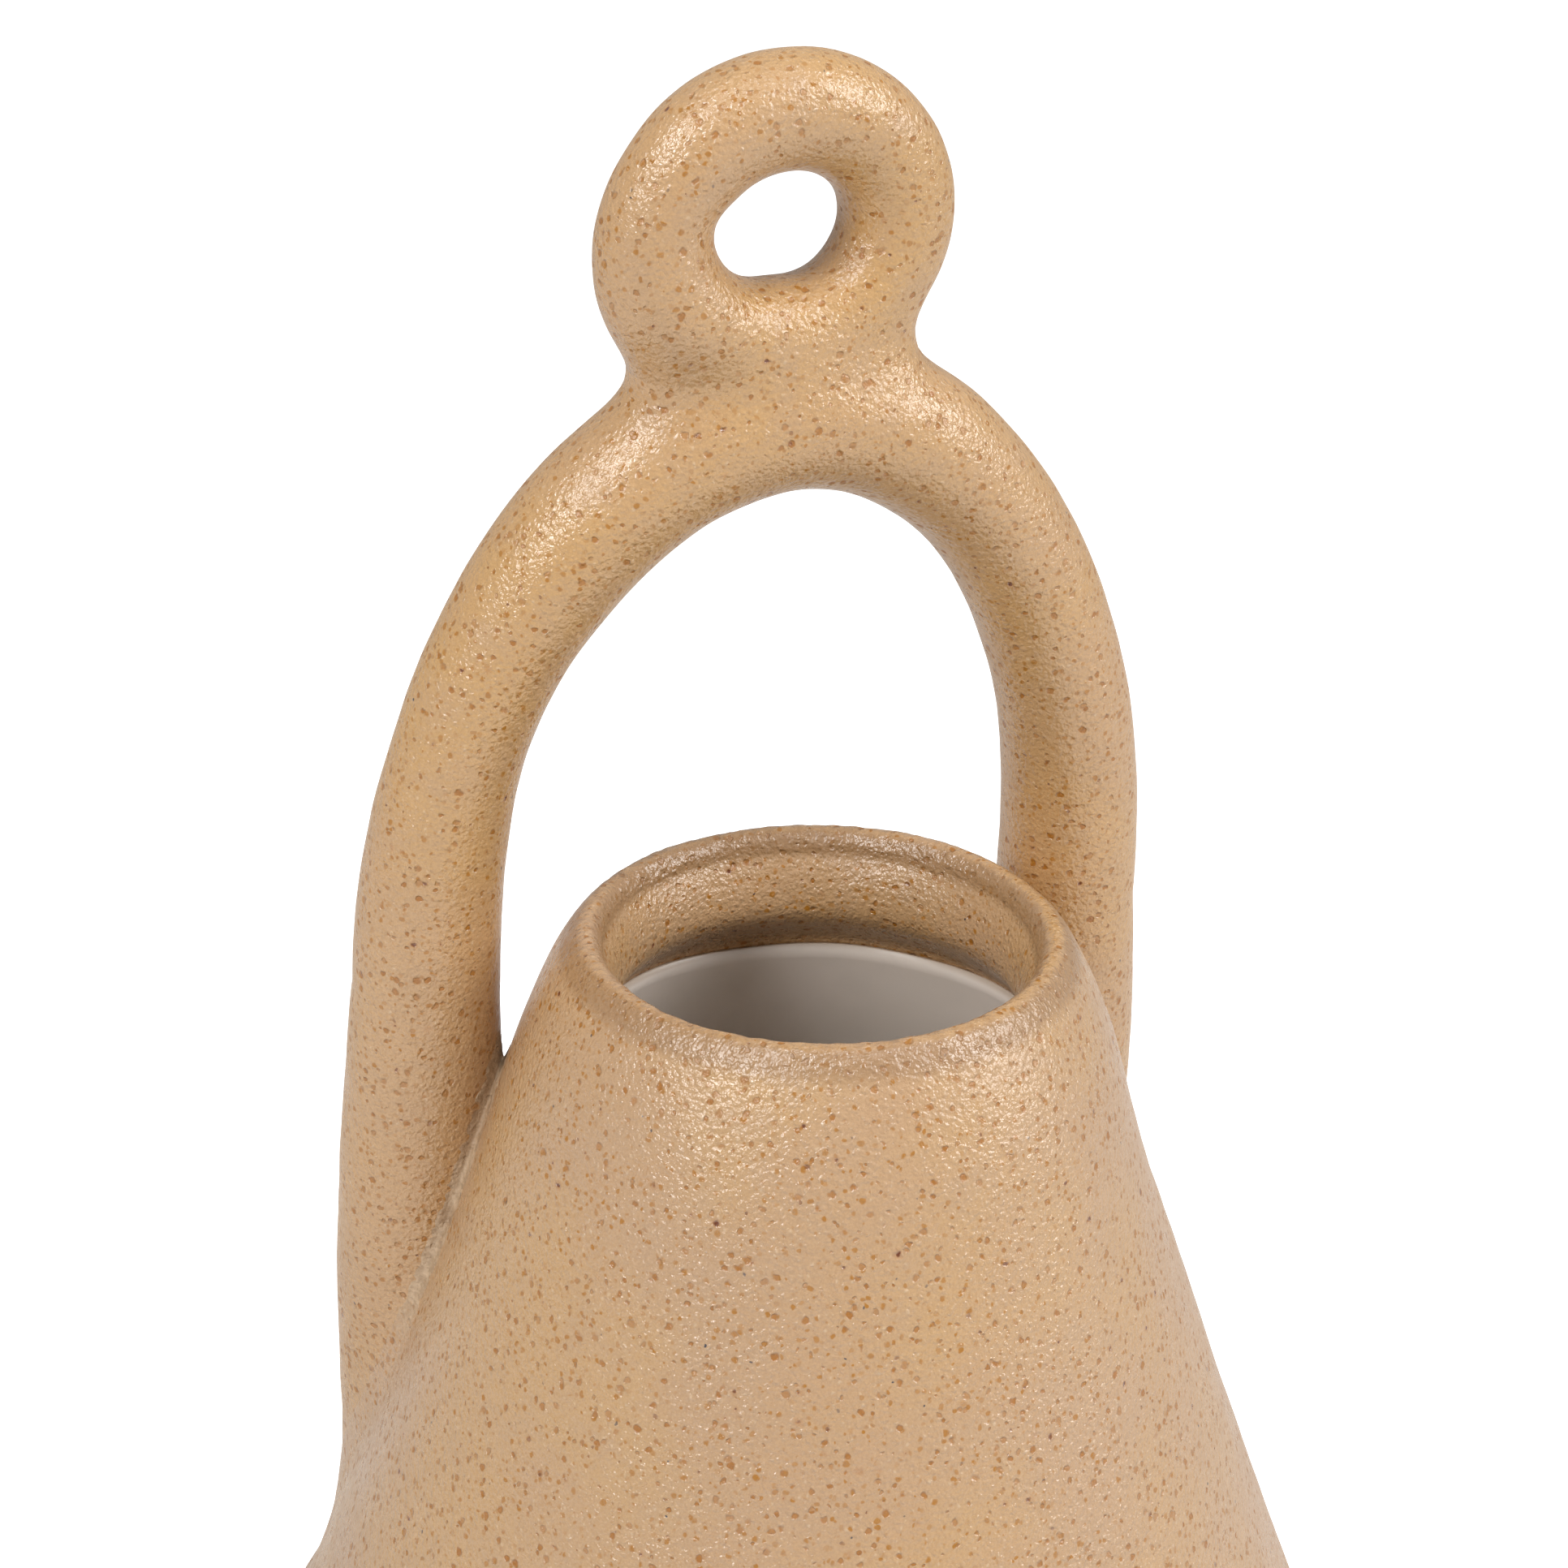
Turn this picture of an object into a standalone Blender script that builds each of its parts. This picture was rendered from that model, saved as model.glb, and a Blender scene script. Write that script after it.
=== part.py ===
"""Stoneware vase: a thrown cone with a rounded lip, closed by a slab floor and lined with glaze.

A pulled arch of clay carries a small ring and stands over the mouth on two long feet, set back from the
body's axis. The feet and the ring are luted on with slip. Metres, +Z up, origin at the centre of the foot.
"""

import math

import bmesh
import bpy

# Body: the wall's outer line runs from the lip to the table, hollowing in a little on the way
BODY_HEIGHT = 0.143  # table to the crest of the lip
BASE_RADIUS = 0.0843  # the wall's outer line at the table
WALL_BOW = 0.0020  # how far that line bends in at half its height
WALL = 0.008  # thickness, measured level
HEEL = 0.005  # rounding between the wall and the foot

# Mouth: a lip rounded on both sides over a narrow throat
THROAT_RADIUS = 0.0252
LIP_INSIDE = 0.0038  # throat to crest, measured level
LIP_OUTSIDE = 0.0042  # crest to the wall's outer line
THROAT_DROP = 0.010  # crest down to the throat
SHOULDER_DROP = 0.019  # crest down to where the rounding meets the wall
GLAZE_DROP = 0.018  # crest down to the edge of the liner glaze

# Floor and liner
FOOT_RECESS = 0.003  # underside of the floor above the table
FLOOR = 0.007
GLAZE = 0.0008

# Arch handle: half an ellipse on two nearly straight legs
HALF_SPAN = 0.0446  # axis to a leg's centre line at the springing
SPRING_DROP = 0.012  # crest of the lip down to the springing
ARCH_RISE = 0.0745  # springing to the crown's centre line
LEG_BOW = 0.0014  # how far a leg bends out between the springing and its foot
HANDLE_SETBACK = 0.0223  # body's axis to the handle's plane at the lip
HANDLE_LEAN = math.radians(5.0)  # the plane tips forward as it rises
FOOT_DROP = 0.094  # crest of the lip down to the tip of each foot
CROWN_RADIUS = 0.0093  # coil radii, from the crown down
SHOULDER_RADIUS = 0.0084
LEG_RADIUS = 0.0094
FOOT_RADIUS = 0.0118

# Ring
RING_HALF_WIDTH = 0.0157  # to the coil's centre line
RING_HALF_HEIGHT = 0.0141
RING_COIL = 0.0071
RING_SHIFT = -0.0022  # off the arch's middle
RING_TWIST = math.radians(6.5)  # about the vertical, against the arch

# Luted joints
SLIP = 0.0012  # layer of slip in a joint
BEAD = 0.0012  # how far the slip stands out around it
JOINT_GAP = 0.0003  # left between neighbouring solids

# Fineness of the curved shapes
BODY_STEPS = 72
COIL_FINENESS = 6  # bevel_resolution of the coils
ARCH_STEPS = 36
RING_STEPS = 44

LIP_CREST = THROAT_RADIUS + LIP_INSIDE
TOP_RADIUS = LIP_CREST + LIP_OUTSIDE
FLOOR_TOP = FOOT_RECESS + FLOOR
SPRING_HEIGHT = BODY_HEIGHT - SPRING_DROP
FOOT_TIP = BODY_HEIGHT - FOOT_DROP
CROWN_HEIGHT = SPRING_HEIGHT + ARCH_RISE
RING_HEIGHT = CROWN_HEIGHT + CROWN_RADIUS + RING_HALF_HEIGHT  # the coil's centre line rests on the crown

for old in list(bpy.data.objects):
    bpy.data.objects.remove(old)


def new_collection(name):
    collection = bpy.data.collections.new(name)
    bpy.context.scene.collection.children.link(collection)
    return collection


VASE = new_collection("stoneware_vase")
CUTTERS = new_collection("cutters")


def new_material(name, colour, roughness):
    material = bpy.data.materials.new(name)
    material.use_nodes = True
    shader = material.node_tree.nodes["Principled BSDF"]
    shader.inputs["Base Color"].default_value = (*colour, 1.0)
    shader.inputs["Roughness"].default_value = roughness
    shader.inputs["Metallic"].default_value = 0.0
    return material


def add_piece(name, data, colour, roughness):
    """A visible piece with a material of its own."""
    piece = bpy.data.objects.new(name, data)
    data.materials.append(new_material(name, colour, roughness))
    VASE.objects.link(piece)
    return piece


def add_cutter(name, data):
    cutter = bpy.data.objects.new(name, data)
    cutter.hide_render = True
    cutter.display_type = "WIRE"
    CUTTERS.objects.link(cutter)
    return cutter


def turned_mesh(name, profile, ring=False):
    """The outline of a turned shape in the XZ plane, as a mesh of edges."""
    mesh = bpy.data.meshes.new(name)
    edges = [(i, i + 1) for i in range(len(profile) - 1)]
    if ring:
        edges.append((len(profile) - 1, 0))
    mesh.from_pydata([(r, 0, z) for r, z in profile], edges, [])
    return mesh


def turn(piece):
    screw = piece.modifiers.new("turned", "SCREW")
    screw.axis = "Z"
    screw.steps = screw.render_steps = BODY_STEPS
    screw.use_merge_vertices = True
    screw.merge_threshold = 0.00001
    screw.use_smooth_shade = True
    return piece


def coil_mesh(name, points, radii, cyclic=False):
    """A coil of clay along points, as a closed mesh."""
    curve = bpy.data.curves.new(name, "CURVE")
    curve.dimensions = "3D"
    curve.bevel_depth = 1.0
    curve.bevel_resolution = COIL_FINENESS
    curve.use_fill_caps = not cyclic
    spline = curve.splines.new("POLY")
    spline.points.add(len(points) - 1)
    spline.use_cyclic_u = cyclic
    for place, point, radius in zip(spline.points, points, radii):
        place.co = (*point, 1.0)
        place.radius = radius
    guide = bpy.data.objects.new(name, curve)
    CUTTERS.objects.link(guide)
    bpy.context.view_layer.update()
    mesh = bpy.data.meshes.new_from_object(guide.evaluated_get(bpy.context.evaluated_depsgraph_get()))
    bpy.data.objects.remove(guide)
    bm = bmesh.new()
    bm.from_mesh(mesh)
    bmesh.ops.remove_doubles(bm, verts=bm.verts, dist=0.00001)
    bm.to_mesh(mesh)
    bm.free()
    mesh.shade_smooth()
    return mesh


def boolean(piece, operation, other):
    step = piece.modifiers.new(f"{operation.lower()} {other.name}", "BOOLEAN")
    step.operation = operation
    step.object = other


# Turned outlines


def wall_radius(z):
    """The wall's outer line at height z."""
    t = (BODY_HEIGHT - z) / BODY_HEIGHT
    return TOP_RADIUS + (BASE_RADIUS - TOP_RADIUS) * t - 4 * WALL_BOW * t * (1 - t)


def inner_radius(z):
    return wall_radius(z) - WALL


def steps_between(start, end, count):
    """count + 1 even steps from start to end."""
    return [start + (end - start) * i / count for i in range(count + 1)]


def outer_outline(offset=0.0):
    """From the lip's crest down the outside to the foot, moved out level by offset."""
    outline = []
    shoulder = BODY_HEIGHT - SHOULDER_DROP
    for angle in steps_between(0, math.pi / 2, 8):
        z = shoulder + SHOULDER_DROP * math.cos(angle)
        outline.append((LIP_CREST + (wall_radius(z) - LIP_CREST) * math.sin(angle), z))
    for z in steps_between(shoulder, HEEL, 10)[1:]:
        outline.append((wall_radius(z), z))
    for t in steps_between(0, 1, 4)[1:]:
        across = (1 - t) ** 2 * wall_radius(HEEL) + 2 * t * (1 - t) * BASE_RADIUS
        outline.append((across + t**2 * (BASE_RADIUS - HEEL), HEEL * (1 - t) ** 2))
    return [(r + offset, z) for r, z in outline]


def inner_outline():
    """From the foot up the inside, under the lip to the throat, and back to the crest."""
    throat = BODY_HEIGHT - THROAT_DROP
    glaze_line = BODY_HEIGHT - GLAZE_DROP
    outline = [(inner_radius(z), z) for z in steps_between(0, glaze_line, 8)]
    for z in steps_between(glaze_line, throat, 5)[1:]:
        t = (throat - z) / (throat - glaze_line)
        outline.append((THROAT_RADIUS + (inner_radius(z) - THROAT_RADIUS) * t * t * (3 - 2 * t), z))
    for angle in steps_between(0, math.pi / 2, 5)[1:-1]:
        outline.append((LIP_CREST - LIP_INSIDE * math.cos(angle), throat + THROAT_DROP * math.sin(angle)))
    return outline


# Body, floor and liner glaze

CLAY = (0.62, 0.385, 0.215)

wall = turn(add_piece("body_wall", turned_mesh("body_wall", outer_outline() + inner_outline(), True), CLAY, 0.62))

floor_outline = [
    (0, FLOOR_TOP),
    (inner_radius(FLOOR_TOP) - JOINT_GAP, FLOOR_TOP),
    (inner_radius(FOOT_RECESS) - JOINT_GAP, FOOT_RECESS),
    (0, FOOT_RECESS),
]
floor = turn(add_piece("base_slab", turned_mesh("base_slab", floor_outline), CLAY, 0.7))


def liner_line(depth):
    """From the axis along the floor and up the wall to the glaze line, depth clear of both."""
    floor_height = FLOOR_TOP + depth
    rising = steps_between(floor_height, BODY_HEIGHT - GLAZE_DROP, 8)
    return [(0, floor_height)] + [(inner_radius(z) - depth, z) for z in rising]


liner_outline = liner_line(JOINT_GAP + GLAZE) + liner_line(JOINT_GAP)[::-1]
liner = turn(add_piece("liner_glaze", turned_mesh("liner_glaze", liner_outline), (0.72, 0.69, 0.64), 0.3))


def body_cutter(offset):
    """The body as a solid, offset outwards."""
    outline = [(0, BODY_HEIGHT)] + outer_outline(offset) + [(0, 0)]
    name = f"body_plus_{offset * 10000:.0f}"
    return turn(add_cutter(name, turned_mesh(name, outline)))


# Arch handle


def handle_y(z):
    """The handle's plane at height z."""
    return HANDLE_SETBACK + (BODY_HEIGHT - z) * math.tan(HANDLE_LEAN)


def arch_radius(z):
    """The coil's radius at height z, eased between its four stated places."""
    shoulder = SPRING_HEIGHT + ARCH_RISE / 2
    stops = [
        (FOOT_TIP, FOOT_RADIUS),
        (SPRING_HEIGHT, LEG_RADIUS),
        (shoulder, SHOULDER_RADIUS),
        (CROWN_HEIGHT, CROWN_RADIUS),
    ]
    if z <= FOOT_TIP:
        return FOOT_RADIUS
    for (low, first), (high, second) in zip(stops, stops[1:]):
        if z <= high:
            t = (z - low) / (high - low)
            return first + (second - first) * t * t * (3 - 2 * t)
    return CROWN_RADIUS


def foot_x():
    """Where a leg's centre line ends, so that its outer side meets the wall at the foot's tip."""
    reach = wall_radius(FOOT_TIP) - FOOT_RADIUS
    return math.sqrt(reach**2 - handle_y(FOOT_TIP) ** 2)


def leg_line(side):
    """A leg's centre line from below the foot's tip, buried in the wall, up to the springing."""
    line = []
    for z in steps_between(FOOT_TIP - FOOT_RADIUS, SPRING_HEIGHT, 12):
        t = (SPRING_HEIGHT - z) / (SPRING_HEIGHT - FOOT_TIP)
        x = HALF_SPAN + (foot_x() - HALF_SPAN) * t + 4 * LEG_BOW * t * (1 - t)
        line.append((side * x, handle_y(z), z))
    return line


def arch_line():
    """The whole arch's centre line, from the left foot over the crown to the right."""
    crown = []
    for angle in steps_between(0, math.pi, ARCH_STEPS)[1:-1]:
        z = SPRING_HEIGHT + ARCH_RISE * math.sin(angle)
        crown.append((-HALF_SPAN * math.cos(angle), handle_y(z), z))
    return leg_line(-1) + crown + leg_line(1)[::-1]


def coil(name, line, extra):
    """The arch's coil along line, thicker by extra."""
    return coil_mesh(name, line, [arch_radius(z) + extra for _, _, z in line])


arch = add_piece("handle_arch", coil("handle_arch", arch_line(), 0.0), CLAY, 0.6)
boolean(arch, "DIFFERENCE", body_cutter(SLIP + 2 * JOINT_GAP))

# Ring on the crown


def ring_coil(name, extra):
    """The ring's coil, thicker by extra, tipped and set back with the arch's plane."""
    points = []
    for angle in steps_between(0, 2 * math.pi, RING_STEPS)[:-1]:
        across = RING_HALF_WIDTH * math.cos(angle)
        z = RING_HEIGHT + RING_HALF_HEIGHT * math.sin(angle)
        x = RING_SHIFT + across * math.cos(RING_TWIST)
        points.append((x, handle_y(z) + across * math.sin(RING_TWIST), z))
    return coil_mesh(name, points, [RING_COIL + extra] * len(points), cyclic=True)


def arch_cutter(offset):
    name = f"arch_plus_{offset * 10000:.0f}"
    return add_cutter(name, coil(name, arch_line(), offset))


ring = add_piece("top_ring", ring_coil("top_ring", 0.0), CLAY, 0.6)
boolean(ring, "DIFFERENCE", arch_cutter(SLIP + 2 * JOINT_GAP))

# Slip in the three joints

SLIP_CLAY = (0.52, 0.43, 0.33)

slip_outside = body_cutter(SLIP + JOINT_GAP)
slip_inside = body_cutter(JOINT_GAP)
for side, name in ((-1, "left_foot_slip"), (1, "right_foot_slip")):
    slip = add_piece(name, coil(name, leg_line(side), BEAD), SLIP_CLAY, 0.8)
    boolean(slip, "INTERSECT", slip_outside)
    boolean(slip, "DIFFERENCE", slip_inside)

ring_slip = add_piece("ring_slip", ring_coil("ring_slip", BEAD), SLIP_CLAY, 0.8)
boolean(ring_slip, "INTERSECT", arch_cutter(SLIP + JOINT_GAP))
boolean(ring_slip, "DIFFERENCE", arch_cutter(JOINT_GAP))
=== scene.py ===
"""Stoneware vase with an arch handle and a ring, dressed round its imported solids.

Thrown and hand-built speckled clay, white liner glaze inside. Metres, +Z up, origin at the centre of the foot.
"""

import math

import bmesh
import bpy
from mathutils import Matrix, Vector, noise


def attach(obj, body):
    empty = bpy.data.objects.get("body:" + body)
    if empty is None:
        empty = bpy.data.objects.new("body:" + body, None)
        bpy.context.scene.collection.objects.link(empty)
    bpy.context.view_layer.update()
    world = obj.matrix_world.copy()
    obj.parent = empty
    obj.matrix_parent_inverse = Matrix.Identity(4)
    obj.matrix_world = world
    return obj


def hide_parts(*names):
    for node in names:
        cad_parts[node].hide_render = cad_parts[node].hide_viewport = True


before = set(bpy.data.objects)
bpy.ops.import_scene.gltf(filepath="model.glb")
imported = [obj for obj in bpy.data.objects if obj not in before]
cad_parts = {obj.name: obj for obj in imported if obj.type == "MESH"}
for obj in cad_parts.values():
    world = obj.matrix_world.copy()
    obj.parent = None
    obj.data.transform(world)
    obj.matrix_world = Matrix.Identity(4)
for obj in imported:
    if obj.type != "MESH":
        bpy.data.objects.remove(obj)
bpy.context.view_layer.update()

# Body wall
# A cone thrown on the wheel in buff stoneware, 8 mm thick, with a lip rounded on both sides over a narrow
# throat. The clay is left bare outside; its iron breaks out in golden and brown specks and it fires to a satin skin.

BODY_HEIGHT = 0.143
BASE_RADIUS = 0.0843
WALL_BOW = 0.0020
WALL = 0.008
HEEL = 0.005
THROAT_RADIUS = 0.0252
LIP_CREST = 0.0291
TOP_RADIUS = 0.0332
THROAT_DROP = 0.010
LIP_INNER_EDGE = 0.0271
LIP_INNER_DROP = 0.0030
SHOULDER_DROP = 0.019
SHOULDER_FULLNESS = 2.4  # 2 would round it as an ellipse
GLAZE_DROP = 0.018
WALL_TURNS = 360

LEG_HALF_SPAN = 0.0446
LEG_TOP = 0.131
LEG_BOW = 0.0012
LEG_RADIUS = 0.0094
FOOT_TIP = 0.049
FOOT_RADIUS = 0.0118
FOOT_X = 0.0436
HANDLE_SETBACK = 0.0223
HANDLE_LEAN = math.radians(5.0)

FILLET_HIGH = 0.0013  # how wide the slip fills the joint beside a foot, at its top
FILLET_LOW = 0.0050  # and where the foot is smoothed into the wall
CHANNEL = 0.0003  # depth of the groove that the slip lies in
FOOT_CHANNEL = 0.0009  # half its width
NEARBY = 0.0005  # how far apart two points are taken to find a slope between them
LOWEST_FEELING = 0.035  # between these heights the wall can feel a foot
HIGHEST_FEELING = 0.135
FEELING = 0.008
CREST_GRIT = 0.00012


def ease(t):
    t = min(max(t, 0.0), 1.0)
    return t * t * (3 - 2 * t)


def bump_at(value, centre, width):
    return math.exp(-(((value - centre) / width) ** 2))


def wall_radius(z):
    t = (BODY_HEIGHT - z) / BODY_HEIGHT
    return TOP_RADIUS + (BASE_RADIUS - TOP_RADIUS) * t - 4 * WALL_BOW * t * (1 - t)


def outer_radius(z):
    """The outside of the turned wall at height z, lip and heel included."""
    shoulder = BODY_HEIGHT - SHOULDER_DROP
    if z <= shoulder:
        return wall_radius(z)
    rise = min((z - shoulder) / SHOULDER_DROP, 1.0)
    return LIP_CREST + (wall_radius(z) - LIP_CREST) * (1 - rise**SHOULDER_FULLNESS) ** (1 / SHOULDER_FULLNESS)


def wall_slope(z):
    """How far the outside falls away from the axis for each metre down, at height z."""
    return (outer_radius(z - NEARBY) - outer_radius(z + NEARBY)) / (2 * NEARBY)


def out_upward(place, slope):
    """The direction straight out of a wall of that slope, at a place beside it."""
    level = Vector((place.x, place.y, 0)).normalized()
    return (level + Vector((0, 0, slope))).normalized()


def out_of_round(x, y, z):
    """The wall isn't a true circle: it swells at the left under the lip, and is flatter below the foot there."""
    azimuth = math.atan2(y, x)
    left = max(0.0, math.cos(azimuth - math.radians(159))) ** 3
    right = max(0.0, math.cos(azimuth + math.radians(21))) ** 3
    swell = 0.0003 * left * bump_at(z, 0.138, 0.006) - 0.0008 * left * bump_at(z, 0.040, 0.016)
    return swell - 0.0006 * right * bump_at(z, 0.112, 0.014)


def distance_to_wall(p):
    """How far p stands off the outside of the wall."""
    slope = wall_slope(p.z)
    across = math.hypot(p.x, p.y) - outer_radius(p.z) - out_of_round(p.x, p.y, p.z)
    return across / math.sqrt(1 + slope * slope)


def handle_y(z):
    return HANDLE_SETBACK + (BODY_HEIGHT - z) * math.tan(HANDLE_LEAN)


def leg_x(z):
    t = (LEG_TOP - z) / (LEG_TOP - FOOT_TIP)
    return LEG_HALF_SPAN + (FOOT_X - LEG_HALF_SPAN) * t + 4 * LEG_BOW * t * (1 - t)


def leg_radius(z):
    return FOOT_RADIUS + (LEG_RADIUS - FOOT_RADIUS) * max((z - FOOT_TIP) / (LEG_TOP - FOOT_TIP), 0.0) ** 2


def in_handle_plane(p):
    """Height of the leaning handle's centre line nearest p, and how far p stands behind the handle's plane."""
    back, up = p.y - HANDLE_SETBACK, p.z - BODY_HEIGHT
    sin, cos = math.sin(HANDLE_LEAN), math.cos(HANDLE_LEAN)
    return BODY_HEIGHT + (up * cos - back * sin) * cos, back * cos + up * sin


def distance_to_leg(p):
    height, behind = in_handle_plane(p)
    slope = (leg_x(height + NEARBY) - leg_x(height - NEARBY)) / (2 * NEARBY) * math.cos(HANDLE_LEAN)
    aside = (abs(p.x) - leg_x(height)) / math.sqrt(1 + slope * slope)
    return math.hypot(aside, behind) - leg_radius(height)


def foot_fillet(p):
    """The joint's fillet is narrow beside the upper half of the foot and broad below."""
    return FILLET_LOW + (FILLET_HIGH - FILLET_LOW) * ease((p.z - 0.078) / 0.022)


def rounded_in(a, b, width):
    """Distance to two shapes drawn together with a fillet, from the distance to each."""
    share = max(width - abs(a - b), 0.0) / width
    return min(a, b) - share * share * width / 4


def channel_depth(a, b, half_width):
    return CHANNEL * (1 - ease((abs(a - b) / half_width - 0.4) / 0.5))


def drawn_out(start, outward, own, other, fillet, half_channel):
    """start, on one shape, moved outward until it lies on the fillet to the other shape, or half way across."""
    width = fillet(start)
    if other(start) <= 0 or other(start) > 1.2 * width:
        return start

    def out_at(step):
        place = start + outward * step
        a, b = own(place), other(place)
        return a >= b or rounded_in(a, b, fillet(place)) >= 0

    low, high = 0.0, width
    for i in range(1, 15):
        if out_at(width * i / 14):
            low, high = width * (i - 1) / 14, width * i / 14
            break
    for _ in range(8):
        middle = (low + high) / 2
        low, high = (low, middle) if out_at(middle) else (middle, high)
    point = start + outward * high
    return point - outward * channel_depth(own(point), other(point), half_channel)


def hand_marks(p):
    """The clay's own unevenness under the hand, in metres: broad swells and small lumps."""
    broad = noise.noise(p * 26 + Vector((3.1, 0.7, 5.2)))
    middle = noise.noise(p * 70 + Vector((1.3, 8.1, 2.2)))
    small = noise.noise(p * 210 + Vector((7.7, 1.9, 4.4)))
    return 0.00030 * broad + 0.00016 * middle + 0.00007 * small


def steps_between(start, end, count):
    return [start + (end - start) * i / count for i in range(count + 1)]


def throat_outline():
    """From the foot up the inside, under the lip to the throat, and back to the crest."""
    throat = BODY_HEIGHT - THROAT_DROP
    glaze_line = BODY_HEIGHT - GLAZE_DROP
    outline = [(wall_radius(z) - WALL, z) for z in steps_between(0.0006, glaze_line, 40)]
    for z in steps_between(glaze_line, throat, 9)[1:]:
        inside = wall_radius(z) - WALL
        widening = ease((throat - z) / (throat - glaze_line))
        outline.append((THROAT_RADIUS + (inside - THROAT_RADIUS) * widening, z))
    edge = BODY_HEIGHT - LIP_INNER_DROP
    for t in steps_between(0, 1, 10)[1:]:
        outline.append((THROAT_RADIUS + (LIP_INNER_EDGE - THROAT_RADIUS) * t * t, throat + (edge - throat) * t))
    for angle in steps_between(0, math.pi / 2, 12)[1:-1]:
        r = LIP_CREST - (LIP_CREST - LIP_INNER_EDGE) * math.cos(angle)
        outline.append((r, edge + LIP_INNER_DROP * math.sin(angle)))
    return outline


def wall_outline():
    """From the crest of the lip down the outside to the foot."""
    shoulder = BODY_HEIGHT - SHOULDER_DROP
    outline = []
    for angle in steps_between(0, math.pi / 2, 26):
        z = shoulder + SHOULDER_DROP * max(math.cos(angle), 0.0) ** (2 / SHOULDER_FULLNESS)
        outline.append((outer_radius(z), z))
    outline += [(wall_radius(z), z) for z in steps_between(shoulder, HEEL, 96)[1:]]
    for t in steps_between(0, 1, 7)[1:]:
        across = (1 - t) ** 2 * wall_radius(HEEL) + 2 * t * (1 - t) * BASE_RADIUS
        outline.append((across + t * t * (BASE_RADIUS - HEEL), HEEL * (1 - t) ** 2))
    return outline + [(wall_radius(0) - WALL + 0.0006, 0.0)]


def turned(outline, turns, closed=True):
    """A turned solid: the outline spun once round the wheel's axis."""
    shape = bmesh.new()
    points = [shape.verts.new((r, 0, z)) for r, z in outline]
    edges = [shape.edges.new(pair) for pair in zip(points, points[1:])]
    if closed:
        edges.append(shape.edges.new((points[-1], points[0])))
    bmesh.ops.spin(
        shape, geom=points + edges, cent=(0, 0, 0), axis=(0, 0, 1), angle=math.tau, steps=turns, use_merge=True
    )
    bmesh.ops.remove_doubles(shape, verts=shape.verts, dist=0.00001)
    bmesh.ops.recalc_face_normals(shape, faces=shape.faces)
    return shape


def pushed(shape, amount_at):
    """Moves every point along its own normal by the amount at that place."""
    shape.normal_update()
    for vert, push in [(v, v.normal * amount_at(v.co)) for v in shape.verts]:
        vert.co += push


def press_by_hand(shape):
    """Gives a finished shape the clay's unevenness, fading out at the foot."""
    pushed(shape, lambda p: hand_marks(p) * ease(p.z / 0.012))


def finished(name, shape, material):
    mesh = bpy.data.meshes.new(name)
    shape.to_mesh(mesh)
    shape.free()
    mesh.shade_smooth()
    mesh.materials.append(material)
    piece = bpy.data.objects.new(name, mesh)
    bpy.context.scene.collection.objects.link(piece)
    return piece


def swatch(red, green, blue):
    """A colour as it reads on a glaze card, 0 to 255, for a shader."""
    parts = [v / 255 / 12.92 if v <= 10.31 else ((v / 255 + 0.055) / 1.055) ** 2.4 for v in (red, green, blue)]
    return (*parts, 1.0)


def node_maker(tree):
    """Short ways to place a node and to join sockets in a node tree."""

    def add(kind, **settings):
        made = tree.nodes.new("ShaderNode" + kind)
        for key, value in settings.items():
            setattr(made, key, value)
        return made

    def feed(socket, value):
        if isinstance(value, bpy.types.NodeSocket):
            tree.links.new(value, socket)
        elif value is not None:
            socket.default_value = value

    def sum_of(operation, a, b=None, c=None, clamp=False):
        made = add("Math", operation=operation, use_clamp=clamp)
        for socket, value in zip(made.inputs, (a, b, c)):
            feed(socket, value)
        return made.outputs[0]

    def graded(value, low, high, to_low=0.0, to_high=1.0):
        made = add("MapRange", interpolation_type="SMOOTHSTEP")
        for socket, given in zip(made.inputs, (value, low, high, to_low, to_high)):
            feed(socket, given)
        return made.outputs[0]

    def blended(factor, a, b):
        made = add("Mix", data_type="RGBA", blend_type="MIX")
        feed(made.inputs[0], factor)
        feed(made.inputs[6], a)
        feed(made.inputs[7], b)
        return made.outputs[2]

    def cloud(place, scale, detail=2.0, rough=0.5):
        made = add("TexNoise")
        feed(made.inputs["Vector"], place)
        feed(made.inputs["Scale"], scale)
        feed(made.inputs["Detail"], detail)
        feed(made.inputs["Roughness"], rough)
        return made.outputs["Fac"]

    return add, feed, sum_of, graded, blended, cloud


def new_group(name, inputs, outputs):
    tree = bpy.data.node_groups.new(name, "ShaderNodeTree")
    for label, kind, value in inputs:
        socket = tree.interface.new_socket(label, in_out="INPUT", socket_type="NodeSocket" + kind)
        if value is not None:
            socket.default_value = value
    for label, kind in outputs:
        tree.interface.new_socket(label, in_out="OUTPUT", socket_type="NodeSocket" + kind)
    return tree, tree.nodes.new("NodeGroupInput"), tree.nodes.new("NodeGroupOutput")


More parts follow.
